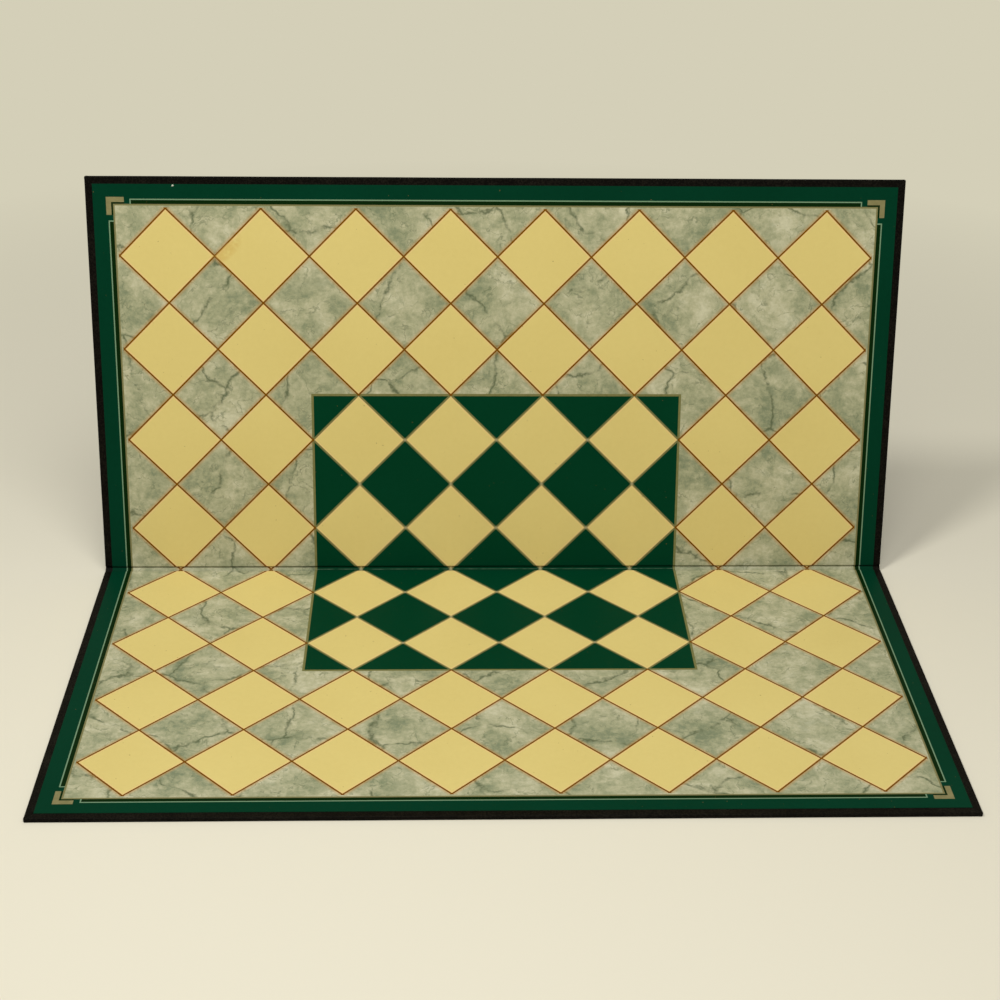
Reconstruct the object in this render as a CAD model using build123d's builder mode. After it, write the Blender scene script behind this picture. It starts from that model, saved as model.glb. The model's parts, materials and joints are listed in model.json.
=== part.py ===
from build123d import *
from math import cos, radians, sin
import os

# A folding game board in two halves, half open: the front half lies on the table, face up,
# and the rear half leans back. X runs along the fold, +Y points to the rear, +Z is up.
# The origin is the centre of the front half's underside.

# Driving sizes, in mm
board_width = 457.2  # along the fold
board_depth = 457.2  # across both halves when the board lies open and flat
core_thickness = 2.0  # greyboard panel
cover_thickness = 0.3  # black covering paper
label_thickness = 0.2  # printed label, with its varnish
spine_width = 4.8  # strip of the cover between the two fold lines
core_setback = 0.5  # from a fold line to the edge of the panel beside it
turn_in_width = 15.0  # how far the cover is folded over on to the face
label_margin = 4.2  # black border between the board's edge and the label
cover_edge_radius = 0.6  # wrapped edges, over back and face
corner_radius = 1.0  # outer corners of the board, seen from above
fold_edge_radius = 0.4  # face side edge of each panel, along the gutter
spine_end_radius = 0.2  # ends of the spine strip, where it is folded over itself
rear_lean = 13.5  # degrees that the rear half leans back from upright

# The label in the gutter, measured from the inside of the spine strip
gutter_flap = 0.5  # flat part of the label's gutter strip, on the face of each panel
gutter_dip = 0.4  # height of the strip beside the panels, where it lies deepest
gutter_crown = 0.6  # height of the strip along its middle line
gutter_foot = 0.3  # from a fold line to where the strip turns up beside the panel
gutter_bend_radius = 0.3  # bends at the bottom of the gutter
crown_radius = 3.0  # rounding of the strip along its middle line
fold_clearance = 0.1  # between the folded-over ends of the spine and each fold line

# Sizes that follow
half_depth = (board_depth - spine_width) / 2  # from a fold line to the outer edge
fold_angle = (90 - rear_lean) / 2  # each of the two fold lines takes half of the turn
face_height = cover_thickness + core_thickness  # face of the panel, flush with the turn-ins
tab_setback = core_setback + cover_thickness  # panel's edge under the cover's fold tabs
panel_reach = half_depth - cover_thickness  # outer edge of the panel, inside the cover
label_start = core_setback + fold_edge_radius + gutter_flap
nearly = fold_clearance / 2  # tolerance for picking edges by their place

# Each half has a plane at the outside of the cover, on its fold line: local Y runs away
# from the fold, and local Z runs from the back to the face.
front_plane = Plane(origin=(0, half_depth / 2, 0), x_dir=(-1, 0, 0), z_dir=(0, 0, 1))


def tilted(origin, angle):
    """Plane through a fold line, with its normal leaning forward by an angle."""
    normal = (0, -sin(radians(angle)), cos(radians(angle)))
    return Plane(origin=origin, x_dir=(1, 0, 0), z_dir=normal)


front_fold = Vector(0, half_depth / 2, cover_thickness)
spine_plane = tilted(front_fold, fold_angle)
rear_fold = spine_plane.from_local_coords(Vector(0, spine_width, 0))
rear_plane = tilted(rear_fold, 2 * fold_angle).offset(-cover_thickness)

os.makedirs("parts", exist_ok=True)


def save(piece, name):
    """Label a finished piece and write it."""
    piece.part.label = name
    export_step(piece.part, f"parts/{name}.step")
    print(name, "volume", round(piece.part.volume, 2), "mm3")


def strip(width, start, end):
    """Rectangle across the fold direction, from one distance off the fold to another."""
    with Locations((0, (start + end) / 2)):
        Rectangle(width, end - start)


def edges_at(plane, edges, setback=None, height=None, beyond=None):
    """Edges whose middle has a given setback from the fold, or height over the back."""

    def wanted(edge):
        spot = plane.to_local_coords(edge.center())
        return (
            (setback is None or abs(spot.Y - setback) < nearly)
            and (height is None or min(abs(spot.Z - h) for h in height) < nearly)
            and (beyond is None or spot.Y > beyond)
        )

    return edges.filter_by(wanted)


for half, plane in (("front", front_plane), ("rear", rear_plane)):
    # The greyboard panel. Its rim is pressed down by one cover thickness under the turn-ins,
    # and at both ends its fold edge is set back by as much, under the cover's tabs.
    with BuildPart() as board:
        with BuildSketch(plane.offset(cover_thickness)):
            strip(board_width - 2 * cover_thickness, tab_setback, panel_reach)
        extrude(amount=core_thickness - cover_thickness)
        rim_heights = (cover_thickness, core_thickness)
        rim = edges_at(plane, board.edges(), height=rim_heights, beyond=tab_setback + nearly)
        fillet(rim, cover_edge_radius - cover_thickness)
        with BuildSketch(plane.offset(cover_thickness)):
            strip(board_width - 2 * turn_in_width, core_setback, half_depth - turn_in_width)
        extrude(amount=core_thickness)
        fold_edge = edges_at(plane, board.edges(), setback=core_setback, height=(face_height,))
        fillet(fold_edge, fold_edge_radius)
    save(board, f"{half}_board")

    # The cover of this half. The back, the three wrapped edges, the turn-ins on the face and
    # the tabs at both ends of the fold edge are one sheet, which leaves the panel's middle bare.
    with BuildPart() as cover:
        with BuildSketch(plane):
            strip(board_width, core_setback, half_depth)
        extrude(amount=face_height)
        corners = edges_at(plane, cover.edges(), setback=half_depth, height=(face_height / 2,))
        fillet(corners, corner_radius)
        fold_edge = edges_at(plane, cover.edges(), setback=core_setback, height=(face_height,))
        fillet(fold_edge, fold_edge_radius)
        past_fold_edge = core_setback + fold_edge_radius + nearly
        wrapped = edges_at(plane, cover.edges(), height=(0, face_height), beyond=past_fold_edge)
        fillet(wrapped, cover_edge_radius)
        with BuildSketch(plane):
            strip(board_width, 0, core_setback)
        extrude(amount=cover_thickness)
        add(board.part, mode=Mode.SUBTRACT)
    save(cover, f"{half}_cover")

    # The printed label on this half's face, flat from the gutter to the black border.
    with BuildPart() as label:
        with BuildSketch(plane.offset(face_height)):
            strip(board_width - 2 * label_margin, label_start, half_depth - label_margin)
        extrude(amount=label_thickness)
    save(label, f"{half}_label")

# The spine: the narrow strip of the cover between the two fold lines. At both ends the sheet
# is folded over on to itself, as wide as the turn-ins on the face.
with BuildPart() as cover_spine:
    with BuildSketch(spine_plane):
        strip(board_width, 0, spine_width)
    extrude(amount=-cover_thickness)
    with BuildSketch(spine_plane):
        with Locations(*[(side * (board_width - turn_in_width) / 2, 0) for side in (-1, 1)]):
            strip(turn_in_width, fold_clearance, spine_width - fold_clearance)
    extrude(amount=cover_thickness)
    across = Axis(rear_fold, spine_plane.y_dir)
    end_edges = cover_spine.edges().filter_by(across).filter_by(
        lambda e: abs(e.center().X) > board_width / 2 - nearly
        and abs(spine_plane.to_local_coords(e.center()).Z) > cover_thickness - nearly
    )
    fillet(end_edges, spine_end_radius)
save(cover_spine, "cover_spine")

# The label where it crosses the fold. It bends over the edge of the front panel, goes down
# into the gutter, rises a little along its middle line and comes up over the rear panel.
route = [
    front_plane.from_local_coords(Vector(0, label_start, face_height)),
    front_plane.from_local_coords(Vector(0, core_setback, face_height)),
    spine_plane.from_local_coords(Vector(0, gutter_foot, gutter_dip)),
    spine_plane.from_local_coords(Vector(0, spine_width / 2, gutter_crown)),
    spine_plane.from_local_coords(Vector(0, spine_width - gutter_foot, gutter_dip)),
    rear_plane.from_local_coords(Vector(0, core_setback, face_height)),
    rear_plane.from_local_coords(Vector(0, label_start, face_height)),
]
bends = [
    fold_edge_radius,
    gutter_bend_radius + label_thickness,
    crown_radius,
    gutter_bend_radius + label_thickness,
    fold_edge_radius,
]
with BuildPart() as label_gutter:
    with BuildSketch(Plane.YZ):
        with BuildLine():
            FilletPolyline(*[(spot.Y, spot.Z) for spot in route], radius=bends)
            offset(amount=label_thickness, side=Side.LEFT)
        make_face()
    extrude(amount=board_width / 2 - label_margin, both=True)
save(label_gutter, "label_gutter")

print("front fold line, y and z", round(front_fold.Y, 4), round(front_fold.Z, 4))
print("rear fold line, y and z", round(rear_fold.Y, 4), round(rear_fold.Z, 4))
print("each fold turns", round(fold_angle, 3), "degrees from flat")
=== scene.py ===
import json
from math import cos, radians, sin

import bmesh
import bpy
from mathutils import Matrix, Vector, noise
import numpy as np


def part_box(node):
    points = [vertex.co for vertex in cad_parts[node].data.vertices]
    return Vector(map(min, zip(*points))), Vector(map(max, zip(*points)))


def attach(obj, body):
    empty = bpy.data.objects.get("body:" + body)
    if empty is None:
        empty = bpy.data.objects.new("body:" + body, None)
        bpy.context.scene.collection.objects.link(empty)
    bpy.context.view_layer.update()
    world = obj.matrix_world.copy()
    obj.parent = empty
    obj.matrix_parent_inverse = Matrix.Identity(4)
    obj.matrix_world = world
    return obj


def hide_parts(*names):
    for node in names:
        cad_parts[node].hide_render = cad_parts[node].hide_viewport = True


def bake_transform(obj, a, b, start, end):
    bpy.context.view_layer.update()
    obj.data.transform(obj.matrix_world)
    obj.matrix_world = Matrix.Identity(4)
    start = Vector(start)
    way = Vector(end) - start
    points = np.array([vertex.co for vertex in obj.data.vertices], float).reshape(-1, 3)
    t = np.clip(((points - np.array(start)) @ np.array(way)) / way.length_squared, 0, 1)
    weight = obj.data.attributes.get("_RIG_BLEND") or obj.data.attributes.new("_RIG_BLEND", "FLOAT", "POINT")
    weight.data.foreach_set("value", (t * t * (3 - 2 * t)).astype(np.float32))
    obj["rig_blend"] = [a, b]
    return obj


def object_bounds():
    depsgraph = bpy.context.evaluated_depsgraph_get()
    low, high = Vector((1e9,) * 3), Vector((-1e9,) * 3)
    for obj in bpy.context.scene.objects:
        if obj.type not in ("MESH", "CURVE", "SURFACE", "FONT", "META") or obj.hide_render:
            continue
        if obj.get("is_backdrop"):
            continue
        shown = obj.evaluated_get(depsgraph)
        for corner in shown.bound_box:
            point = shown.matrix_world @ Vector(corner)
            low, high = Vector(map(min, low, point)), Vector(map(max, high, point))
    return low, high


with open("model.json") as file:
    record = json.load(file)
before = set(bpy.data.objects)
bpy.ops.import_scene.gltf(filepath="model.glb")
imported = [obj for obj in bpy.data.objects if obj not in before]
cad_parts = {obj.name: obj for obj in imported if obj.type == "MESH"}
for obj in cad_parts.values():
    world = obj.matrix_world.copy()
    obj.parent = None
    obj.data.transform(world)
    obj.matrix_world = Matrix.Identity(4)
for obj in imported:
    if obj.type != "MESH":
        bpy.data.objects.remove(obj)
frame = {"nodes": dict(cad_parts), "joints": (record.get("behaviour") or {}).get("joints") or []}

cad_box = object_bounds()

# The two greyboard panels: solid board of grey recycled fibre, guillotined to size. They lie
# inside the cover and under the label, and carry both. Only their fold edges are ever bare,
# down in the gutter.
mm = 0.001
nodes = frame["nodes"]


def paint(red, green, blue):
    """A colour given in screen levels, 0 to 255, as the light that it sends back."""
    levels = [level / 255 for level in (red, green, blue)]
    linear = [c / 12.92 if c < 0.04045 else ((c + 0.055) / 1.055) ** 2.4 for c in levels]
    return (*linear, 1.0)


class Socket:
    """One value in a finish. Arithmetic on it adds Math nodes to the same finish."""

    def __init__(self, finish, output):
        self.finish = finish
        self.output = output

    def math(self, operation, *operands, clamp=False):
        settings = {"operation": operation, "use_clamp": clamp}
        return self.finish.node("ShaderNodeMath", settings, dict(enumerate(operands)))

    def __add__(self, other):
        return self.math("ADD", self, other)

    def __sub__(self, other):
        return self.math("SUBTRACT", self, other)

    def __mul__(self, other):
        return self.math("MULTIPLY", self, other)

    def __truediv__(self, other):
        return self.math("DIVIDE", self, other)

    def __mod__(self, other):
        return self.math("FLOORED_MODULO", self, other)

    def __rsub__(self, other):
        return self.math("SUBTRACT", other, self)

    def __abs__(self):
        return self.math("ABSOLUTE", self)

    def __round__(self):
        return self.math("ROUND", self)

    __radd__ = __add__
    __rmul__ = __mul__

    def below(self, edge, blur):
        """1 where the value is under an edge and 0 over it, soft over the blur."""
        return self.math("ADD", (edge - self) / blur, 0.5, clamp=True)

    def above(self, edge, blur):
        return self.math("ADD", (self - edge) / blur, 0.5, clamp=True)

    def between(self, low, high, blur):
        return self.above(low, blur) * self.below(high, blur)


class Finish:
    """A material on one Principled shader, and the nodes that feed it."""

    def __init__(self, name):
        self.material = bpy.data.materials.new(name)
        self.material.use_nodes = True
        self.tree = self.material.node_tree
        self.shader = self.tree.nodes["Principled BSDF"]

    def node(self, kind, settings=None, sockets=None, result=0):
        """Adds a node: first its settings, then the values or links of its sockets."""
        made = self.tree.nodes.new(kind)
        for name, value in (settings or {}).items():
            if name == "stops":
                self.set_stops(made.color_ramp, value)
            else:
                setattr(made, name, value)
        self.join(made, sockets or {})
        by_name = {s.identifier: s for s in made.outputs} | {s.name: s for s in made.outputs}
        chosen = made.outputs[result] if isinstance(result, int) else by_name[result]
        return Socket(self, chosen)

    def set_stops(self, ramp, stops):
        ramp.elements[0].position = stops[0][0]
        ramp.elements[-1].position = stops[-1][0]
        for position, _ in stops[1:-1]:
            ramp.elements.new(position)
        for element, (_, colour) in zip(ramp.elements, stops):
            element.color = colour

    def join(self, made, sockets):
        for key, value in sockets.items():
            same = [s for s in made.inputs if key in (s.identifier, s.name) and s.enabled]
            socket = made.inputs[key] if isinstance(key, int) else same[0]
            if isinstance(value, Socket):
                self.tree.links.new(value.output, socket)
            else:
                socket.default_value = value

    def mix(self, factor, first, second):
        """A colour between two others."""
        sockets = {"Factor_Float": factor, "A_Color": first, "B_Color": second}
        return self.node("ShaderNodeMix", {"data_type": "RGBA"}, sockets, "Result_Color")

    def grain(self, place, size, detail=3.0, roughness=0.5):
        """Noise from 0 to 1, with features of about a size in the place's own units."""
        sockets = {"Vector": place, "Scale": 1 / size, "Detail": detail, "Roughness": roughness}
        return self.node("ShaderNodeTexNoise", {"normalize": True}, sockets, "Fac")

    def places(self):
        """Object coordinates, in mm."""
        spot = self.node("ShaderNodeTexCoord", result="Object")
        sockets = {0: spot, "Scale": 1 / mm}
        return self.node("ShaderNodeVectorMath", {"operation": "SCALE"}, sockets)

    def bump(self, height, depth):
        """A normal from a height of 0 to 1, over a depth in metres."""
        sockets = {"Height": height, "Distance": depth, "Strength": 1.0}
        return self.node("ShaderNodeBump", {}, sockets, "Normal")

    def shade(self, **sockets):
        named = {name.replace("_", " "): value for name, value in sockets.items()}
        self.join(self.shader, named)
        return self.material


def greyboard():
    """Raw grey pulp: short fibres, pale clouds and a few dark flecks. Sizes are in mm."""
    fibre_size, cloud_size, fleck_size = 0.5, 14, 1.1
    fibre_relief = 0.08
    finish = Finish("greyboard")
    place = finish.places()
    fibre = finish.grain(place, fibre_size, detail=5, roughness=0.7)
    cloud = finish.grain(place, cloud_size)
    flecks = finish.grain(place, fleck_size, detail=2).above(0.68, 0.04)
    tone = finish.mix(fibre * 0.7 + cloud * 0.3, paint(142, 136, 124), paint(176, 170, 157))
    tone = finish.mix(flecks * 0.6, tone, paint(96, 92, 86))
    relief = finish.bump(fibre, fibre_relief * mm)
    return finish.shade(Base_Color=tone, Roughness=0.92, Normal=relief)


board_finish = greyboard()
for half in ("front", "rear"):
    board = nodes[f"{half}_board"]
    board.data.materials.clear()
    board.data.materials.append(board_finish)


# The cover of each half: one sheet of black covering paper with a pressed leather grain. It is
# glued over the back, wrapped round the three outer edges, mitred at the outer corners and
# turned in on to the face, where the label's border leaves a narrow band of it bare.
folds = {joint["name"]: joint for joint in frame["joints"]}
front_fold = Vector(folds["front_fold"]["pos_m"]) / mm
rear_fold = Vector(folds["rear_fold"]["pos_m"]) / mm
fold_turn = -folds["front_fold"]["range_deg"][0]  # what each fold turns back to lie flat
cover_low, cover_high = (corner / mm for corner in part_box("front_cover"))
board_width = cover_high.x - cover_low.x
half_depth = front_fold.y - cover_low.y
face_height = cover_high.z
cover_thickness = front_fold.z
panel_setback = front_fold.y - (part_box("front_board")[1] / mm).y
turn_in = 15.0
edge_radius = 0.6
edge_band = 0.95  # from the board's edge to where the sheet lies flat on the face
flat_stop = 4.0  # one more row of points across the turn-in
corner_radius = 0.85
fold_edge_radius = 0.4
fold_edge_stops = (0, 0.13, 0.3, 0.5, 0.75, 1)  # shares of the rounded fold edge
edge_wander = 0.12  # how far the wrapped edges stray from a straight line
wander_size = 34  # length of one such bend
side_zone, outer_zone = 2.4, 1.0  # points this near to an edge of the half stray with it
crease_depth = 0.16  # of the mitre fold at the outer corners
crease_width = 0.5
crease_side = 0.15  # share of that depth just beside the corner
stop_step = 7  # between the points along an edge
corner_step = 15  # the same round a corner, in degrees
corner_wear, edge_wear = 1.0, 0.72
back_wear = 0.55  # share of that wear below the rim's middle
rim_middle = 1.2
sheet_share = 0.98  # the shell is a little thinner than the sheet, and so clears the panel
weld_reach = 0.004

# Each half in its own axes: along the fold, away from the fold, and from back to face.
lift = Matrix.Translation((0, 0, -cover_thickness))
half_frames = {
    "front": Matrix.Translation(front_fold) @ Matrix.Rotation(radians(180), 4, "Z") @ lift,
    "rear": Matrix.Translation(rear_fold) @ Matrix.Rotation(radians(2 * fold_turn), 4, "X") @ lift,
}


def arc(radius, steps):
    """Setback from an edge and distance from a face, round a quarter circle."""
    turns = [radians(90 * step / steps) for step in range(steps + 1)]
    return [(radius * (1 - sin(turn)), radius * (1 - cos(turn))) for turn in turns]


def cover_profile():
    """Setback and height of the sheet's outside, from the turn-in round the edge to the back."""
    over_face = [(turn_in, 0), (flat_stop, 0), (edge_band, 0)]
    rounded = arc(edge_radius, steps=5)
    face_side = [(inset, face_height - drop) for inset, drop in over_face + rounded]
    back_side = [(inset, drop) for inset, drop in reversed(over_face + rounded)]
    return face_side + [(0, face_height / 2)] + back_side


def span(start, end, step):
    """Evenly spaced stops from start to end, both included."""
    count = max(1, round(abs(end - start) / step))
    return [start + (end - start) * n / count for n in range(count + 1)]


def cover_stations():
    """Stops round the three outer edges, as functions of the setback, with their creases."""
    side = board_width / 2
    clear = turn_in + 2
    fold_stops = [panel_setback + fold_edge_radius * share for share in fold_edge_stops]
    along_side = fold_stops + span(clear, half_depth - clear, stop_step)
    along_outer = span(clear - side, side - clear, stop_step)

    def on_side(which, y):
        return lambda inset: (which * (side - inset), y)

    def on_outer(x):
        return lambda inset: (x, half_depth - inset)

    def before_corner(which, past):
        def stop(inset):
            return which * (side - inset), half_depth - max(inset, corner_radius) - past
        return stop

    def after_corner(which, past):
        def stop(inset):
            return which * (side - max(inset, corner_radius) - past), half_depth - inset
        return stop

    def round_corner(which, turn):
        def stop(inset):
            reach = max(corner_radius - inset, 0)
            centre = max(corner_radius, inset)
            x = side - centre + reach * cos(radians(turn))
            return which * x, half_depth - centre + reach * sin(radians(turn))
        return stop

    def corner(which):
        stops = [(before_corner(which, 3 * crease_width), 0.0)]
        stops += [(before_corner(which, crease_width), crease_side)]
        stops += [(round_corner(which, turn), 1.0) for turn in range(0, 91, corner_step)]
        stops += [(after_corner(which, crease_width), crease_side)]
        return stops + [(after_corner(which, 3 * crease_width), 0.0)]

    left = [(on_side(-1, y), 0.0) for y in along_side]
    outer = [(on_outer(x), 0.0) for x in along_outer]
    right = [(on_side(1, y), 0.0) for y in reversed(along_side)]
    return left + corner(-1) + outer + corner(1)[::-1] + right


def fold_edge_cap(y):
    """Height of the face as it rounds off towards the gutter."""
    reach = panel_setback + fold_edge_radius - y
    if reach <= 0:
        return face_height
    drop = fold_edge_radius - (fold_edge_radius ** 2 - min(reach, fold_edge_radius) ** 2) ** 0.5
    return face_height - drop


def finish_mesh(name, bm, place, finish, smooth_angle=38):
    """Makes an object of a bmesh in mm, set in place and in metres."""
    bm.transform(Matrix.Scale(mm, 4) @ place)
    mesh = bpy.data.meshes.new(name)
    bm.to_mesh(mesh)
    bm.free()
    mesh.shade_smooth()
    mesh.set_sharp_from_angle(angle=radians(smooth_angle))
    piece = bpy.data.objects.new(name, mesh)
    bpy.context.scene.collection.objects.link(piece)
    mesh.materials.append(finish)
    return piece


def applied(piece):
    """Turns a piece's modifiers into its mesh."""
    graph = bpy.context.evaluated_depsgraph_get()
    mesh = bpy.data.meshes.new_from_object(piece.evaluated_get(graph))
    piece.modifiers.clear()
    piece.data = mesh
    return piece


def leatherette():
    """Black paper pressed with pebbles and pores, clouded, scuffed and rubbed at its edges."""
    pebble_size, drift_size, pore_size = 0.95, 1.6, 0.35
    rub_size, cloud_size, scuff_size = 7, 45, 11
    pebble_relief = 0.12
    finish = Finish("black_leatherette")
    place = finish.places()
    drift = finish.grain(place, drift_size, detail=2)
    sockets = {"Vector": place, "Scale": 1 / pebble_size, "Smoothness": 0.35, "Randomness": 0.9}
    settings = {"feature": "SMOOTH_F1", "voronoi_dimensions": "3D"}
    pebbles = finish.node("ShaderNodeTexVoronoi", settings, sockets, "Distance")
    pores = finish.grain(place, pore_size, detail=3, roughness=0.6)
    height = 1 - pebbles + 0.25 * drift + 0.12 * pores
    worn = finish.node("ShaderNodeAttribute", {"attribute_name": "worn"}, {}, "Fac")
    rubbing = finish.grain(place, rub_size, detail=5, roughness=0.7)
    rubbed = (worn * (rubbing + 0.16 * height)).above(0.62, 0.1)
    cloud = finish.grain(place, cloud_size, detail=3)
    scuffed = finish.grain(place, scuff_size, detail=6, roughness=0.75).above(0.58, 0.2)
    tone = finish.mix(cloud.above(0.5, 0.4), paint(6, 4, 2), paint(16, 14, 9))
    tone = finish.mix(scuffed * 0.4, tone, paint(36, 33, 26))
    # painted highlight on the pebbles' crowns and painted shade in their valleys
    tone = finish.mix(pebbles.below(0.3, 0.3) * 0.4, tone, paint(32, 29, 22))
    tone = finish.mix(pebbles.above(0.55, 0.3) * 0.8, tone, paint(3, 2, 1))
    tone = finish.mix(rubbed * 0.75, tone, paint(74, 68, 58))
    return finish.shade(
        Base_Color=tone,
        Roughness=0.50 + 0.14 * cloud + 0.12 * rubbed,
        Specular_IOR_Level=0.05,
        Normal=finish.bump(height, pebble_relief * mm),
    )


def wander(x, y, size, seed):
    """A smooth random number from -1 to 1 that changes over a size along the surface."""
    return noise.noise(Vector((x / size, y / size, seed)))


def half_cover(half, seed):
    """The outside of the wrapped sheet, which a Solidify makes into a closed shell."""
    bm = bmesh.new()
    worn = bm.verts.layers.float.new("worn")
    profile = cover_profile()
    side = board_width / 2
    rows = []
    for stop, crease in cover_stations():
        row = []
        for inset, height in profile:
            x, y = stop(inset)
            on_edge = max(0.0, 1 - inset / edge_band)
            over_face = height > face_height - edge_radius
            waver = 0.5 + 0.5 * wander(x, y, wander_size, seed)
            stray = edge_wander * waver * on_edge if crease == 0 else 0
            x -= stray * (1 if x > 0 else -1) if abs(x) > side - side_zone else 0
            y -= stray if y > half_depth - outer_zone else 0
            z = min(height, fold_edge_cap(y))
            z -= crease_depth * crease if over_face else 0
            vertex = bm.verts.new((x, y, z))
            wear = corner_wear if crease > 0 else edge_wear
            vertex[worn] = on_edge * wear * (back_wear if height < rim_middle else 1)
            row.append(vertex)
        rows.append(row)
    for row, following in zip(rows, rows[1:]):
        for n in range(len(profile) - 1):
            bm.faces.new((row[n], row[n + 1], following[n + 1], following[n]))
    bm.faces.new([row[-1] for row in rows])
    bm.faces.new(rows[0])
    bm.faces.new(rows[-1][::-1])
    bmesh.ops.remove_doubles(bm, verts=bm.verts, dist=weld_reach)
    bmesh.ops.recalc_face_normals(bm, faces=bm.faces)
    back = max(bm.faces, key=lambda face: face.calc_area())
    if back.normal.z > 0:
        bmesh.ops.reverse_faces(bm, faces=bm.faces)
    piece = finish_mesh(f"{half}_wrapped_cover", bm, half_frames[half], cover_finish)
    shell = piece.modifiers.new("thickness", "SOLIDIFY")
    shell.thickness = cover_thickness * sheet_share * mm
    shell.offset = -1
    applied(piece)
    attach(piece, f"{half}_half")
    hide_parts(f"{half}_cover")


cover_finish = leatherette()
half_cover("front", seed=3.1)
half_cover("rear", seed=8.4)


# The spine: the strip of the same cover sheet between the two fold lines. It bends over a small
# radius at each line, and both its ends are folded back on to themselves. It is made in two
# strips that meet along its middle, so that each bends with the fold beside it.
spine_width = (rear_fold - front_fold).length
bend_reach = panel_setback  # the bend of a fold line takes this much to either side of it
pad_rise = 0.2  # the folded end reaches its full height this far past a fold line
least_pad = 0.01
pad_step = 0.02  # width of the step at the end of the folded part
end_step = 30  # between the points along the strip
nose_steps = 8  # round the fold at each end
bend_steps = 5  # on either side of a fold line
past_bend, spine_step = 0.4, 0.5  # between the rows beyond the bend
crease_wear, crease_wear_reach = 0.75, 0.8
spine_frame = Matrix.Rotation(radians(fold_turn), 4, "X")


def eased(share):
    """A share from 0 to 1 that starts and ends gently."""
    share = min(max(share, 0), 1)
    return share * share * (3 - 2 * share)


def bent(fold, first_angle, run, height):
    """A point of the bent sheet, by its run past a fold line and its height over the inside."""
    turn = first_angle + fold_turn * eased((run + bend_reach) / (2 * bend_reach))
    return fold + Matrix.Rotation(radians(turn), 3, "X") @ Vector((0, run, height))


def spine_section(pad):
    """The strip cut across, from end to end, with its ends folded over by a pad's height."""
    end, inner = board_width / 2, board_width / 2 - turn_in
    half = (pad + cover_thickness) / 2
    middle = (pad - cover_thickness) / 2
    rounded = [radians(90 - 180 * n / nose_steps) for n in range(nose_steps + 1)]
    nose = [(end - half + half * cos(turn), middle + half * sin(turn)) for turn in rounded]
    top = [(0, 0)] + [(x, 0) for x in span(end_step, inner - pad_step, end_step)] + [(inner, pad)]
    right = top + nose + [(x, -cover_thickness) for x in span(inner, end_step, end_step)]
    left = [(-x, z) for x, z in reversed(right[1:])]
    return right + [(0, -cover_thickness)] + left


def spine_strip(name, fold, first_angle, runs, bodies):
    """The part of the spine beside one fold line, as a closed solid."""
    bm = bmesh.new()
    worn = bm.verts.layers.float.new("worn")
    rows = []
    for run in runs:
        from_spine = run if first_angle == 0 else -run
        pad = cover_thickness * min(max(from_spine / pad_rise, 0), 1)
        row = []
        for x, height in spine_section(max(pad, least_pad)):
            spot = Vector((x, 0, 0)) + bent(fold, first_angle, run, height)
            spot.z = max(spot.z, 0)  # pressed flat where it lies on the table
            vertex = bm.verts.new(spot)
            outside = height < -cover_thickness / 2
            wear = crease_wear * max(0, 1 - abs(run) / crease_wear_reach)
            vertex[worn] = wear if outside else 0.0
            row.append(vertex)
        rows.append(row)
    count = len(rows[0])
    for row, following in zip(rows, rows[1:]):
        for n in range(count):
            m = (n + 1) % count
            bm.faces.new((row[n], row[m], following[m], following[n]))
    bm.faces.new(rows[0])
    bm.faces.new(rows[-1][::-1])
    bmesh.ops.recalc_face_normals(bm, faces=bm.faces)
    piece = finish_mesh(name, bm, Matrix.Identity(4), cover_finish)
    start = bent(fold, first_angle, -bend_reach, 0) * mm
    end = bent(fold, first_angle, bend_reach, 0) * mm
    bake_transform(piece, *bodies, start=start, end=end)
    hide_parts("cover_spine")


across_bend = [bend_reach * (n / bend_steps - 1) for n in range(2 * bend_steps + 1)]
across_spine = span(bend_reach + past_bend, spine_width / 2, spine_step)
front_runs = across_bend + across_spine
rear_runs = [-run for run in reversed(front_runs)]
spine_strip("spine_cover_front", front_fold, 0, front_runs, ("front_half", "spine"))
spine_strip("spine_cover_rear", rear_fold, fold_turn, rear_runs, ("spine", "rear_half"))


# The printed label on each half: one sheet of varnished paper glued to the face. The print is a
# lattice of plain diamonds on marbled paper, with a green block in the middle, fine outlines,
# corner brackets and a green border, and it runs on over the fold.
label_low, label_high = (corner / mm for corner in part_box("front_label"))
label_half_width = label_high.x
label_start = front_fold.y - label_high.y
label_end = front_fold.y - label_low.y
label_face = label_high.z
print_offset = 0.18  # of the print's middle from the middle of the board
print_run = {"front": 1.93, "rear": 2.47}  # of the print from the crest of the gutter to a fold
pitch = 52.8  # from one diamond to the next
field = 4 * pitch  # where the lattice ends, from the middle of the print
block = 2 * pitch  # where the green block ends
line_half_width = 0.47  # of the orange lines
block_line_half_width = 0.54  # of the khaki lines inside the block
block_edge_half_width = 0.66  # of the khaki line round the block
line_bleed = (1.3, 1.8)  # reach and softness of the orange that has crept into the marble
pale_rim = (1.2, 0.9)  # the same for the paler rim of a diamond
crossing_spot = (0.8, 0.5)  # the same for the pale spot where two khaki lines cross
outline = (1.4, 2.3)  # khaki outline of the marbled field, out from the tips of the lattice
pale_line = (4.5, 5.14)  # pale line round the field
line_stop = -6.9  # where the pale line ends and hooks inwards, short of the corner
bracket = (3.3, 6.1)  # corner bracket
bracket_stop = -3.8
blur = 0.16  # softness of the print's edges
chip_place = (-179.8, 224.1)  # a chip in the varnish at the rear edge
chip_reach = (0.58, 0.42)
stain_place = (36.9, -340.7)  # a faint stain on a diamond, along and across its slanting side
stain_reach = (14.0, 6.6)
gutter_shade = (2.6, 1.0)  # reach and softness of the painted shade over the gutter
crest_rub_and_highlight = (0.1, 0.2)  # the same for the crest's paler line: rubbed wear and a painted highlight
gutter_dip_shade = (1.8, 2.75, 0.6)  # a band of painted shade in the dip to either side: from, to and softness
varnish_relief = 0.02


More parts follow.
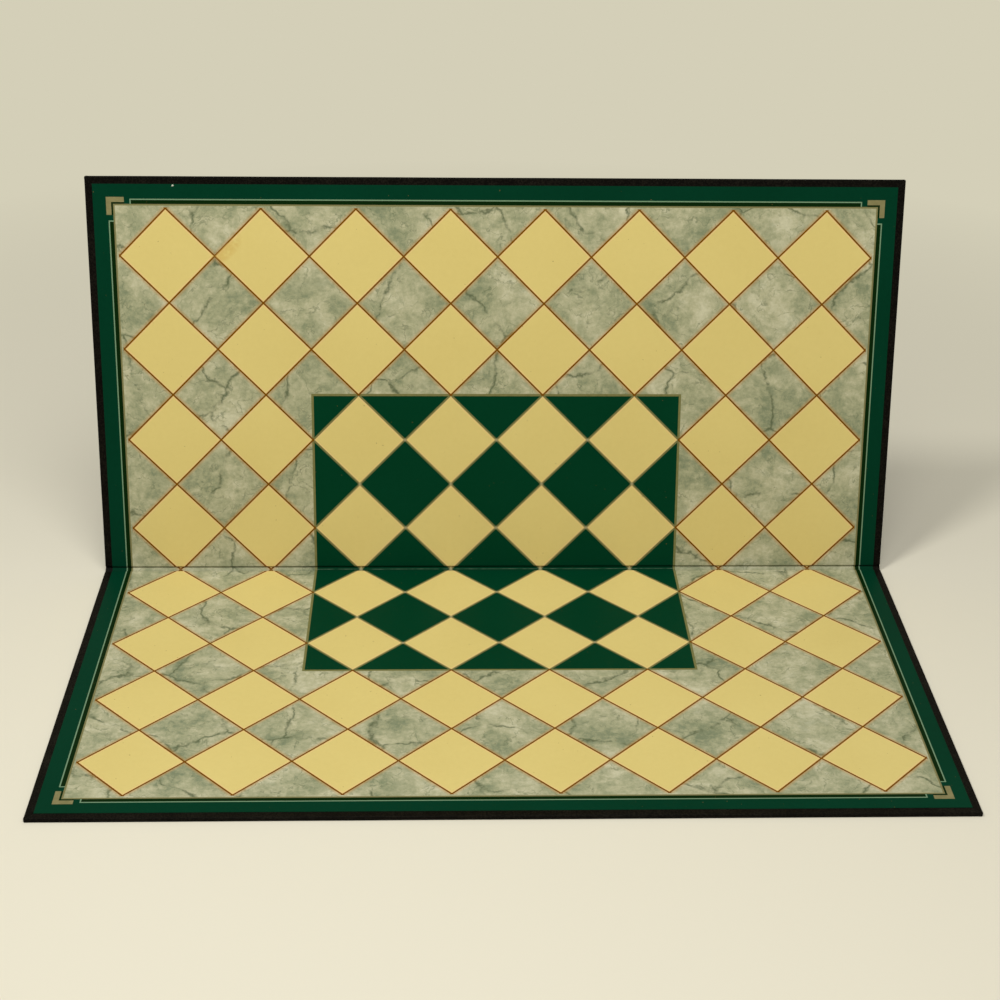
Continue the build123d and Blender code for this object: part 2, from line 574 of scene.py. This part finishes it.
def marbled_paper(finish, place):
    """Grey-green clouds over beige, finely mottled, with sparse broken veins. Sizes are in mm."""
    curl_size, curl_reach = 40, (34, 34, 0)
    cloud_size, mottle_size, fleck_size, speckle_size = 32, 8, 3.4, 1.5
    smear_size, hair_size = 13, 19
    vein_cell, vein_break = 50, 17
    sockets = {"Vector": place, "Scale": 1 / curl_size, "Detail": 5.0, "Roughness": 0.6}
    curl = finish.node("ShaderNodeTexNoise", {}, sockets, "Color")
    sockets = {0: curl, 1: curl_reach, 2: place}
    curled = finish.node("ShaderNodeVectorMath", {"operation": "MULTIPLY_ADD"}, sockets)
    clouds = finish.grain(curled, cloud_size, detail=5, roughness=0.6)
    mottle = finish.grain(place, mottle_size, detail=6, roughness=0.72)
    speckle = finish.grain(place, speckle_size, detail=3, roughness=0.75)
    flecks = finish.grain(place, fleck_size, detail=5, roughness=0.75)
    depth = clouds * 0.44 + mottle * 0.30 + flecks * 0.18 + speckle * 0.08
    stops = [
        (0.40, paint(126, 135, 106)),
        (0.47, paint(160, 162, 128)),
        (0.53, paint(183, 181, 147)),
        (0.61, paint(204, 201, 170)),
    ]
    marble = finish.node("ShaderNodeValToRGB", {"stops": stops}, {"Fac": depth}, "Color")
    smears = finish.grain(curled, smear_size, detail=6, roughness=0.72).above(0.56, 0.12)
    marble = finish.mix(smears * 0.4, marble, paint(122, 132, 100))
    settings = {"feature": "DISTANCE_TO_EDGE", "voronoi_dimensions": "2D"}
    sockets = {"Vector": curled, "Scale": 1 / vein_cell, "Randomness": 1.0}
    off_vein = finish.node("ShaderNodeTexVoronoi", settings, sockets, "Distance") * vein_cell
    broken = finish.grain(place, vein_break, detail=4, roughness=0.65).above(0.47, 0.12)
    vein = off_vein.below(2.4 * flecks - 0.5, 1.3) * broken
    marble = finish.mix(vein * 0.85, marble, paint(88, 98, 70))
    ridge = abs(finish.grain(curled, hair_size, detail=4, roughness=0.55) - 0.5)
    hair = ridge.below(0.007, 0.014) * mottle.above(0.48, 0.12)
    marble = finish.mix(hair * 0.6, marble, paint(98, 109, 80))
    return marble, mottle, speckle


def blot(u, v, place, reach, edge):
    """A soft round mask about a place of the print."""
    off_u, off_v = (u - place[0]) / reach[0], (v - place[1]) / reach[1]
    return (off_u * off_u + off_v * off_v).below(1, edge)


def printed_paper():
    """The whole print, drawn by distances from its middle on the label's own map. Sizes in mm."""
    fade_size, dust_size, rub_size, speck_size, varnish_size = 60, 3.2, 6, 1.7, 9
    finish = Finish("printed_label")
    place = finish.node("ShaderNodeUVMap", {"uv_map": "print"})
    u = finish.node("ShaderNodeSeparateXYZ", {}, {0: place}, "X") - print_offset
    v = finish.node("ShaderNodeSeparateXYZ", {}, {0: place}, "Y")

    # The lattice of diamonds, as two sets of slanting lines
    rising, falling = (u + v) / pitch, (u - v) / pitch
    off_rising, off_falling = abs(rising - round(rising)), abs(falling - round(falling))
    across_cell = pitch / 2 ** 0.5
    to_line = (0.5 - u.math("MAXIMUM", off_rising, off_falling)) * across_cell
    to_crossing = (0.5 - u.math("MINIMUM", off_rising, off_falling)) * across_cell
    yellow_cell = (round(rising) + round(falling)) % 2
    reach = u.math("MAXIMUM", abs(u), abs(v))
    lesser = u.math("MINIMUM", abs(u), abs(v))
    on_lattice = reach.below(field + line_half_width, blur)
    on_block = reach.below(block, blur)
    inside_block = reach.below(block - line_half_width, blur)

    # Marbled paper, yellow diamonds and the green block
    marble, mottle, speckle = marbled_paper(finish, place)
    fade = finish.grain(place, fade_size, detail=2)
    dust = finish.grain(place, dust_size, detail=4, roughness=0.7)
    ageing = fade * 0.6 + dust * 0.4
    yellow = finish.mix(ageing, paint(212, 192, 116), paint(226, 208, 133))
    yellow = finish.mix(to_line.below(*pale_rim) * 0.4, yellow, paint(242, 197, 140))
    green = finish.mix(ageing, paint(0, 51, 28), paint(3, 61, 38))
    ground = finish.mix(on_block, marble, green)
    bleed = to_line.below(*line_bleed) * (1 - on_block) * on_lattice
    ground = finish.mix(bleed * 0.45, ground, paint(200, 144, 66))
    shown = finish.mix(yellow_cell * on_lattice, ground, yellow)

    # Lines of the lattice: khaki in and round the block, orange over the rest
    khaki = finish.mix(dust, paint(100, 100, 56), paint(136, 133, 84))
    block_line = to_line.below(block_line_half_width, blur) * inside_block
    shown = finish.mix(block_line, shown, khaki)
    crossing = to_crossing.below(*crossing_spot) * block_line
    shown = finish.mix(crossing * 0.6, shown, paint(178, 166, 128))
    block_edge = abs(reach - block).below(block_edge_half_width, blur)
    shown = finish.mix(block_edge, shown, khaki)
    line = to_line.below(line_half_width, blur) * on_lattice * (1 - inside_block)
    orange = finish.mix(dust, paint(102, 60, 2), paint(132, 84, 12))
    shown = finish.mix(line, shown, orange)

    # The border: outline, dark gap, pale line with hooked ends, corner brackets, green band
    out = reach - field
    inner = lesser - field
    shown = finish.mix(out.between(*outline, blur), shown, paint(126, 122, 80))
    band = finish.mix(ageing, paint(1, 46, 27), paint(4, 60, 40))
    shown = finish.mix(out.above(outline[1], blur), shown, band)
    olive = paint(9, 36, 8)
    gap = out.between(outline[1], pale_line[0], blur) * inner.below(line_stop, blur)
    shown = finish.mix(gap, shown, olive)
    pale = out.between(*pale_line, blur) * inner.below(line_stop, blur)
    hook_width = pale_line[1] - pale_line[0]
    hook = inner.between(line_stop - hook_width, line_stop, blur)
    hook = hook * out.between(outline[1], pale_line[1], blur)
    shown = finish.mix(pale.math("MAXIMUM", pale, hook), shown, paint(118, 148, 116))
    by_bracket = inner.above(bracket_stop, blur)
    shown = finish.mix(out.between(outline[1], bracket[0], blur) * by_bracket, shown, olive)
    brass = finish.mix(mottle, paint(92, 92, 54), paint(162, 152, 108))
    shown = finish.mix(out.between(*bracket, blur) * by_bracket, shown, brass)

    # Wear and painted light: painted shade over the gutter, its crest paler as rubbed wear and a painted
    # highlight, painted shade in the dips beside it, specks, a stain and a chip
    in_gutter = abs(v).below(*gutter_shade)
    # painted shade: the print darkened over the whole gutter
    shown = finish.mix(in_gutter * 0.08, shown, paint(22, 22, 10))
    rub = finish.grain(place, rub_size, detail=4, roughness=0.7).above(0.48, 0.2)
    # the crest painted paler: partly rubbed wear, partly a painted highlight
    crest = abs(v).below(*crest_rub_and_highlight) * rub * reach.below(field, blur)
    shown = finish.mix(crest * 0.4, shown, paint(150, 164, 140))
    # painted shade in the dips beside the crest, where the panels' edges shade the strip
    shown = finish.mix(abs(v).between(*gutter_dip_shade) * 0.3, shown, paint(22, 22, 10))
    specks = finish.grain(place, speck_size, detail=1).above(0.79, 0.03)
    shown = finish.mix(specks * 0.6, shown, paint(120, 96, 50))
    stain = blot(u + v, u - v, stain_place, stain_reach, 0.9) * mottle.above(0.44, 0.16)
    shown = finish.mix(stain * yellow_cell * 0.45, shown, paint(202, 166, 84))
    chip = blot(u + 0.8 * speckle, v + 0.8 * speckle, chip_place, chip_reach, 0.5)
    shown = finish.mix(chip, shown, paint(194, 200, 184))
    varnish = finish.grain(place, varnish_size, detail=2)
    return finish.shade(
        Base_Color=shown,
        Roughness=0.34 + 0.12 * dust + 0.4 * in_gutter,
        Specular_IOR_Level=0.022,
        Normal=finish.bump(varnish + 0.12 * speckle, varnish_relief * mm),
    )


def lay_print(piece, print_place):
    """Gives a label piece the map of its print, in mm, and a second map that fills the whole square."""
    margin = 0.02  # share of the second map for the sheet's rim and glued side
    mesh = piece.data
    printed = mesh.uv_layers.new(name="print")
    baked = mesh.uv_layers.new(name="OFBake")
    spots = [print_place(vertex.co) for vertex in mesh.vertices]
    low, high = min(run for _, run, _ in spots), max(run for _, run, _ in spots)
    for face in mesh.polygons:
        on_top = all(spots[mesh.loops[n].vertex_index][2] for n in face.loop_indices)
        for n in face.loop_indices:
            x, run, _ = spots[mesh.loops[n].vertex_index]
            printed.uv[n].vector = (x, run)
            across = x / (2 * label_half_width) + 0.5
            up = (run - low) / (high - low)
            up = margin + (1 - margin) * up if on_top else margin * 0.5 * up
            baked.uv[n].vector = (across, up)
    mesh.uv_layers.active = printed


def flat_label(half, seed):
    """The label on the face of one half, with its cut edges pressed down a little."""
    pressed, near_edge, step = 0.07, 0.6, 8
    swell_height, swell_size = 0.03, 46  # of the face, which isn't quite even under the glue
    glue_side = face_height + 0.02  # a point over this is on the printed side
    bm = bmesh.new()
    x_end = label_half_width
    to_edge = [near_edge, pressed, 0]
    xs = [-x_end + inset for inset in reversed(to_edge)] + span(-x_end + step, x_end - step, step)
    xs += [x_end - inset for inset in to_edge]
    ys = span(label_start, label_end - step, step) + [label_end - inset for inset in to_edge]
    top, bottom = [], []
    for y in ys:
        upper, lower = [], []
        for x in xs:
            at_edge = abs(x) > x_end - pressed / 2 or y > label_end - pressed / 2
            swell = swell_height * (wander(x, y, swell_size, seed) - 1)
            z = label_face - (pressed if at_edge else 0) + (swell if y > label_start else 0)
            upper.append(bm.verts.new((x, y, z)))
            lower.append(bm.verts.new((x, y, face_height)))
        top.append(upper)
        bottom.append(lower)
    for layer, order in ((top, 1), (bottom, -1)):
        for row, following in zip(layer, layer[1:]):
            for n in range(len(xs) - 1):
                corners = (row[n], row[n + 1], following[n + 1], following[n])
                bm.faces.new(corners[::order])
    rim_top = top[0] + [row[-1] for row in top[1:]]
    rim_top += top[-1][-2::-1] + [row[0] for row in reversed(top[1:-1])]
    rim_low = bottom[0] + [row[-1] for row in bottom[1:]]
    rim_low += bottom[-1][-2::-1] + [row[0] for row in reversed(bottom[1:-1])]
    for n, vertex in enumerate(rim_top):
        before = n - 1
        bm.faces.new((rim_low[before], rim_low[n], vertex, rim_top[before]))
    bmesh.ops.recalc_face_normals(bm, faces=bm.faces)
    piece = finish_mesh(f"{half}_printed_label", bm, half_frames[half], label_finish)
    back = (Matrix.Scale(mm, 4) @ half_frames[half]).inverted()
    facing = -1 if half == "front" else 1

    def print_place(co):
        spot = back @ co
        run = facing * (spot.y + print_run[half])
        return co.x / mm, run, spot.z > glue_side

    lay_print(piece, print_place)
    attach(piece, f"{half}_half")
    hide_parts(f"{half}_label")


label_finish = printed_paper()
flat_label("front", seed=5.2)
flat_label("rear", seed=9.7)


# The label where it crosses the fold: the same sheet goes down over the edge of one panel, rises
# to a crest along the middle of the gutter and climbs over the other panel. The crest's print is
# painted paler, partly as rubbed wear and partly as a painted highlight. It is glued only at its
# flaps, and is split along the crest so that each strip bends with its own fold.
gutter_dip = 0.4  # height over the spine beside the panels
gutter_crown = 0.6  # height over the spine at the crest
gutter_foot = 0.3  # from a fold line to where the strip turns up
bend_radius = 0.5
crown_radius = 3.0
gutter_bend = (0.3, -0.45)  # the strip bends between these distances from its fold line
bend_height = 1  # over the back of the half
label_thickness = label_face - face_height
in_spine = Matrix.Translation(front_fold) @ spine_frame

gutter_route = [
    (half_frames["front"] @ Vector((0, label_start, face_height)), 0),
    (half_frames["front"] @ Vector((0, panel_setback, face_height)), fold_edge_radius),
    (in_spine @ Vector((0, gutter_foot, gutter_dip)), bend_radius),
    (in_spine @ Vector((0, spine_width / 2, gutter_crown)), crown_radius),
    (in_spine @ Vector((0, spine_width - gutter_foot, gutter_dip)), bend_radius),
    (half_frames["rear"] @ Vector((0, panel_setback, face_height)), fold_edge_radius),
    (half_frames["rear"] @ Vector((0, label_start, face_height)), 0),
]


class Tree:
    """A Geometry Nodes tree, with its inputs and the calls that add its nodes."""

    def __init__(self, name, inputs):
        self.tree = bpy.data.node_groups.new(name, "GeometryNodeTree")
        face = self.tree.interface
        face.new_socket("Geometry", in_out="INPUT", socket_type="NodeSocketGeometry")
        face.new_socket("Geometry", in_out="OUTPUT", socket_type="NodeSocketGeometry")
        self.keys = {}
        for label, kind in inputs.items():
            socket = face.new_socket(label, in_out="INPUT", socket_type=f"NodeSocket{kind}")
            self.keys[label] = socket.identifier
        self.given = self.tree.nodes.new("NodeGroupInput").outputs

    def node(self, kind, settings=None, sockets=None, result=0):
        """Adds a node: first its settings, then the values or links of its sockets."""
        made = self.tree.nodes.new(kind)
        for name, value in (settings or {}).items():
            setattr(made, name, value)
        for key, value in (sockets or {}).items():
            usable = [s for s in made.inputs if key in (s.identifier, s.name) and s.enabled]
            socket = made.inputs[key] if isinstance(key, int) else usable[0]
            if isinstance(value, bpy.types.NodeSocket):
                self.tree.links.new(value, socket)
            else:
                socket.default_value = value
        if not made.outputs:
            return None
        chosen = [s for s in made.outputs if result in (s.identifier, s.name) and s.enabled]
        return made.outputs[result] if isinstance(result, int) else chosen[0]

    def put_on(self, piece, **values):
        """Sets a modifier's inputs by their identifiers, and applies it."""
        modifier = piece.modifiers.new("nodes", "NODES")
        modifier.node_group = self.tree
        for label, value in values.items():
            modifier[self.keys[label.replace("_", " ")]] = value
        return applied(piece)


def gutter_sheet_tree():
    """Rounds a route's corners and sweeps it along the fold, with an uneven crest."""
    full_wander, no_wander = 0.04, 0.2  # distances from the crest, as shares of the route
    inputs = {"Half width": "Float", "Stops": "Int", "Bend steps": "Int"}
    inputs |= {"Crest wander": "Float", "Wander size": "Float", "Seed": "Float"}
    inputs |= {"Finish": "Material"}
    t = Tree("gutter_sheet", inputs)
    given = t.given
    curve = t.node("GeometryNodeMeshToCurve", {}, {"Mesh": given["Geometry"]})
    bend = t.node("GeometryNodeInputNamedAttribute", {"data_type": "FLOAT"}, {"Name": "bend"})
    sockets = {"Curve": curve, "Count": given["Bend steps"], "Radius": bend}
    rounded = t.node("GeometryNodeFilletCurve", {"mode": "POLY"}, sockets)
    run = t.node("GeometryNodeSplineParameter", result="Factor")
    settings = {"data_type": "FLOAT", "domain": "POINT"}
    sockets = {"Geometry": rounded, "Name": "run", "Value": run}
    route = t.node("GeometryNodeStoreNamedAttribute", settings, sockets)
    left = t.node("ShaderNodeCombineXYZ", {}, {
        "X": t.node("ShaderNodeMath", {"operation": "MULTIPLY"}, {0: given["Half width"], 1: -1.0})
    })
    right = t.node("ShaderNodeCombineXYZ", {}, {"X": given["Half width"]})
    line = t.node("GeometryNodeCurvePrimitiveLine", {}, {"Start": left, "End": right})
    path = t.node("GeometryNodeResampleCurve", {}, {"Curve": line, "Count": given["Stops"]})
    swept = t.node("GeometryNodeCurveToMesh", {}, {"Curve": path, "Profile Curve": route})
    stored = t.node("GeometryNodeInputNamedAttribute", {"data_type": "FLOAT"}, {"Name": "run"})
    off_crest = t.node("ShaderNodeMath", {"operation": "SUBTRACT"}, {0: stored, 1: 0.5})
    off_crest = t.node("ShaderNodeMath", {"operation": "ABSOLUTE"}, {0: off_crest})
    sockets = {"Value": off_crest, "From Min": full_wander, "From Max": no_wander}
    sockets |= {"To Min": 1.0, "To Max": 0.0}
    near = t.node("ShaderNodeMapRange", {"interpolation_type": "SMOOTHSTEP"}, sockets)
    size = t.node("ShaderNodeMath", {"operation": "DIVIDE"}, {0: 1.0, 1: given["Wander size"]})
    sockets = {"Scale": size, "Detail": 2.0, "W": given["Seed"]}
    ripple = t.node("ShaderNodeTexNoise", {"noise_dimensions": "4D"}, sockets)
    ripple = t.node("ShaderNodeMath", {"operation": "SUBTRACT"}, {0: ripple, 1: 0.5})
    rise = t.node("ShaderNodeMath", {"operation": "MULTIPLY"}, {0: ripple, 1: near})
    rise = t.node("ShaderNodeMath", {"operation": "MULTIPLY"}, {0: rise, 1: given["Crest wander"]})
    offset = t.node("ShaderNodeCombineXYZ", {}, {"Z": rise})
    moved = t.node("GeometryNodeSetPosition", {}, {"Geometry": swept, "Offset": offset})
    moved = t.node("GeometryNodeFlipFaces", {}, {"Mesh": moved})
    real = t.node("GeometryNodeRealizeInstances", {}, {"Geometry": moved})
    sockets = {"Geometry": real, "Material": given["Finish"]}
    done = t.node("GeometryNodeSetMaterial", {}, sockets)
    t.node("NodeGroupOutput", {}, {"Geometry": done})
    return t


def gutter_sheet():
    """The whole strip over the fold, as a closed solid that still has to be split."""
    mesh = bpy.data.meshes.new("gutter_sheet")
    spots = [(-spot.y * mm, -spot.z * mm, 0) for spot, _ in gutter_route]
    mesh.from_pydata(spots, [(n, n + 1) for n in range(len(spots) - 1)], [])
    bends = mesh.attributes.new("bend", "FLOAT", "POINT")
    bends.data.foreach_set("value", [radius * mm for _, radius in gutter_route])
    sheet = bpy.data.objects.new("gutter_sheet", mesh)
    bpy.context.scene.collection.objects.link(sheet)
    gutter_sheet_tree().put_on(
        sheet,
        Half_width=label_half_width * mm,
        Stops=141,
        Bend_steps=6,
        Crest_wander=0.5 * mm,
        Wander_size=18 * mm,
        Seed=2.0,
        Finish=label_finish,
    )
    solid = sheet.modifiers.new("thickness", "SOLIDIFY")
    solid.thickness = label_thickness * mm
    solid.offset = 1
    return applied(sheet)


def gutter_strip(name, whole, half, bodies):
    """One side of the split sheet, closed along the crest."""
    bm = bmesh.new()
    bm.from_mesh(whole.data)
    run = bm.verts.layers.float["run"]
    front = half == "front"

    def elsewhere(face):
        middle = sum(vertex[run] for vertex in face.verts) / len(face.verts)
        return middle > 0.5 if front else middle < 0.5

    bmesh.ops.delete(bm, geom=[f for f in bm.faces if elsewhere(f)], context="FACES")
    cut = {vertex for edge in bm.edges if edge.is_boundary for vertex in edge.verts}
    cut = sorted(cut, key=lambda vertex: vertex.co.x)
    pairs = zip(cut[::2], cut[1::2])
    pairs = [sorted(pair, key=lambda vertex: vertex.co.z) for pair in pairs]
    for (low, high), (next_low, next_high) in zip(pairs, pairs[1:]):
        bm.faces.new((low, high, next_high, next_low))
    bmesh.ops.recalc_face_normals(bm, faces=bm.faces)
    bm.transform(Matrix.Scale(1 / mm, 4))
    piece = finish_mesh(name, bm, Matrix.Identity(4), label_finish)
    runs = [item.value for item in piece.data.attributes["run"].data]
    flap = label_start + print_run[half]
    places = {}
    for vertex, along in zip(piece.data.vertices, runs):
        places[tuple(vertex.co)] = (2 * along - 1) * flap

    def print_place(co):
        return co.x / mm, places[tuple(co)], True

    lay_print(piece, print_place)
    frame_of_half = Matrix.Scale(mm, 4) @ half_frames[half]
    on_half, on_spine = (frame_of_half @ Vector((0, y, bend_height)) for y in gutter_bend)
    start, end = (on_half, on_spine) if front else (on_spine, on_half)
    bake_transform(piece, *bodies, start=start, end=end)
    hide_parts("label_gutter")


sheet = gutter_sheet()
gutter_strip("gutter_label_front", sheet, "front", ("front_half", "spine"))
gutter_strip("gutter_label_rear", sheet, "rear", ("spine", "rear_half"))
bpy.data.objects.remove(sheet)


# The floor: a plain sheet of warm pale paper under the board, wide enough to fill the view.
# Further off, a ray that only looks sees it as an even backdrop.
floor_size = 16.0
near_floor, far_floor = 300, 900  # between these distances the sheet fades to the backdrop
backdrop_tone = paint(212, 207, 184)
bpy.ops.mesh.primitive_plane_add(size=floor_size, location=(0, 0, 0))
floor = bpy.context.object
floor.name = "floor"


def looking_ray(tree):
    """1 for a ray that only looks: from the camera, by a reflection or through something clear."""
    paths = tree.nodes.new("ShaderNodeLightPath").outputs
    looking = paths["Is Camera Ray"]
    for kind in ("Is Glossy Ray", "Is Transmission Ray"):
        either = tree.nodes.new("ShaderNodeMath")
        either.operation = "MAXIMUM"
        tree.links.new(looking, either.inputs[0])
        tree.links.new(paths[kind], either.inputs[1])
        looking = either.outputs[0]
    return looking


def mixed_shader(tree, factor, first, second, output):
    """Joins two shaders by a factor, into the tree's output."""
    shaders = tree.nodes.new("ShaderNodeMixShader")
    for value, socket in zip((factor, first, second), shaders.inputs):
        tree.links.new(value, socket)
    tree.links.new(shaders.outputs[0], tree.nodes[output].inputs["Surface"])


def floor_paper():
    """Matt paper that a looking ray sees turn into the backdrop with its distance."""
    finish = Finish("floor_paper")
    finish.shade(Base_Color=paint(231, 226, 206), Roughness=0.8, Specular_IOR_Level=0.2)
    settings = {"operation": "LENGTH"}
    away = finish.node("ShaderNodeVectorMath", settings, {0: finish.places()}, "Value")
    far_off = away.above((near_floor + far_floor) / 2, far_floor - near_floor)
    plain = finish.node("ShaderNodeEmission", {}, {"Color": backdrop_tone}).output
    factor = (Socket(finish, looking_ray(finish.tree)) * far_off).output
    mixed_shader(finish.tree, factor, finish.shader.outputs[0], plain, "Material Output")
    return finish.material


floor.data.materials.append(floor_paper())
floor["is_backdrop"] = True


# The light: a lamp high on the left that draws the shadow's edge, a broad lamp in front and an
# even sky. A ray that only looks sees the backdrop's tone in place of the sky.
light_tint = (1.0, 0.985, 0.96)
sky_strength = 0.24
world = bpy.data.worlds.new("studio")
bpy.context.scene.world = world
world.use_nodes = True
sky = world.node_tree.nodes["Background"]
sky.inputs["Color"].default_value = (*light_tint, 1.0)
sky.inputs["Strength"].default_value = sky_strength
seen_sky = world.node_tree.nodes.new("ShaderNodeBackground")
seen_sky.inputs["Color"].default_value = backdrop_tone
looking = looking_ray(world.node_tree)
mixed_shader(world.node_tree, looking, sky.outputs[0], seen_sky.outputs[0], "World Output")


def softbox(name, azimuth, elevation, distance, size, energy):
    """A round lamp that faces the board. Its azimuth counts from the front to the right."""
    data = bpy.data.lights.new(name, "AREA")
    data.shape = "DISK"
    data.size = size
    data.energy = energy
    data.color = light_tint
    lamp = bpy.data.objects.new(name, data)
    bpy.context.scene.collection.objects.link(lamp)
    azimuth, elevation = radians(azimuth), radians(elevation)
    level = Vector((sin(azimuth), -cos(azimuth), 0)) * cos(elevation)
    from_board = level + Vector((0, 0, sin(elevation)))
    lamp.location = from_board * distance
    lamp.rotation_euler = from_board.to_track_quat("Z", "Y").to_euler()


softbox("left_lamp", azimuth=-60, elevation=64, distance=1.4, size=0.3, energy=7.5)
softbox("front_lamp", azimuth=12, elevation=62, distance=1.4, size=1.0, energy=9.1)


# The camera: it stands in front of the board, a little to the left of its middle, and looks
# down on it with a slight roll. Its place, turn and lens make the outline fall as it should.
camera_place = Vector((-28.5, -764.2, 531.6)) * mm
camera_tilt, camera_heading, camera_roll = 28.776, 1.997, 0.912  # in degrees
camera_data = bpy.data.cameras.new("camera")
camera_data.sensor_width = 36.0
camera_data.lens = 62.56
camera = bpy.data.objects.new("camera", camera_data)
bpy.context.scene.collection.objects.link(camera)
camera_turn = Matrix.Rotation(radians(-camera_heading), 4, "Z")
camera_turn = camera_turn @ Matrix.Rotation(radians(90 - camera_tilt), 4, "X")
camera_turn = camera_turn @ Matrix.Rotation(radians(camera_roll), 4, "Z")
camera.matrix_world = Matrix.Translation(camera_place) @ camera_turn
bpy.context.scene.camera = camera
bpy.context.scene.view_settings.view_transform = "Standard"

boxes = {"cad": cad_box, "visual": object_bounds()}
{name: [list(corner) for corner in box] for name, box in boxes.items()}
